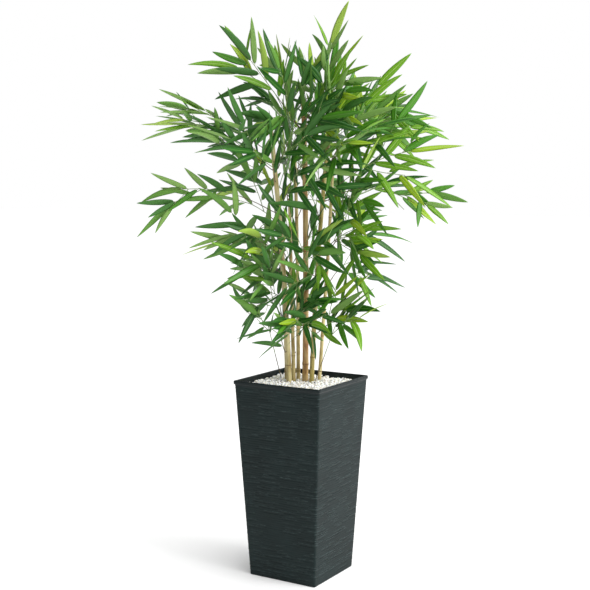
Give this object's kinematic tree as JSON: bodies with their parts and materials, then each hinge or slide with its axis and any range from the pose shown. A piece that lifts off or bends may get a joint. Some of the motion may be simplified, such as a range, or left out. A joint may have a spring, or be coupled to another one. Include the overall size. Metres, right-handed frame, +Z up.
{
  "type": "potted artificial bamboo",
  "caption": "Artificial bamboo plant with natural canes and fabric leaves, standing in a tall tapered square planter topped with white pebbles.",
  "frame": {"origin": "middle of the planter's flat underside, where it stands", "axes": "+Z up; the planter's sides run along X and Y; the pictured side is seen over the corner between -Y and +X"},
  "size_m": [0.7851, 0.6918, 1.4887],
  "materials": {
    "ribbed_resin": "matt moulded resin with fine level furrows",
    "packing": "rough cut foam",
    "white_marble_chips": "matt stone chips",
    "dried_bamboo": "dried culm with a slight sheen",
    "leaf_fabric": "coated woven leaf"
  },
  "bodies": {
    "root": {"cane_1": "dried_bamboo", "cane_2": "dried_bamboo", "cane_3": "dried_bamboo", "cane_4": "dried_bamboo", "cane_5": "dried_bamboo", "cane_6": "dried_bamboo", "cane_7": "dried_bamboo", "filling": "packing", "pebble_bed": "white_marble_chips", "planter": "ribbed_resin", "spray_back_1": "leaf_fabric", "spray_back_10": "leaf_fabric", "spray_back_2": "leaf_fabric", "spray_back_3": "leaf_fabric", "spray_back_4": "leaf_fabric", "spray_back_5": "leaf_fabric", "spray_back_6": "leaf_fabric", "spray_back_7": "leaf_fabric", "spray_back_8": "leaf_fabric", "spray_back_9": "leaf_fabric", "spray_crown_left": "leaf_fabric", "spray_crown_middle": "leaf_fabric", "spray_crown_right": "leaf_fabric", "spray_fan_right": "leaf_fabric", "spray_front_left": "leaf_fabric", "spray_front_middle": "leaf_fabric", "spray_front_right": "leaf_fabric", "spray_front_top": "leaf_fabric", "spray_front_top_right": "leaf_fabric", "spray_hanging_right": "leaf_fabric", "spray_high_left": "leaf_fabric", "spray_high_left_low": "leaf_fabric", "spray_high_right": "leaf_fabric", "spray_inner_1": "leaf_fabric", "spray_inner_2": "leaf_fabric", "spray_long_left": "leaf_fabric", "spray_long_right": "leaf_fabric", "spray_low_front": "leaf_fabric", "spray_low_left": "leaf_fabric", "spray_low_middle": "leaf_fabric", "spray_low_right": "leaf_fabric", "spray_lower_front": "leaf_fabric", "spray_lower_left": "leaf_fabric", "spray_lower_middle": "leaf_fabric", "spray_middle": "leaf_fabric", "spray_middle_left": "leaf_fabric", "spray_middle_left_near": "leaf_fabric", "spray_middle_right": "leaf_fabric", "spray_shoot_left": "leaf_fabric", "spray_shoot_right": "leaf_fabric", "spray_shoulder_left": "leaf_fabric", "spray_shoulder_near": "leaf_fabric", "spray_shoulder_right": "leaf_fabric", "spray_tip_1": "leaf_fabric", "spray_tip_3": "leaf_fabric", "spray_tip_4": "leaf_fabric", "spray_tip_7": "leaf_fabric", "spray_top": "leaf_fabric", "spray_top_left": "leaf_fabric", "spray_upper_right": "leaf_fabric"}
  },
  "joints": []
}
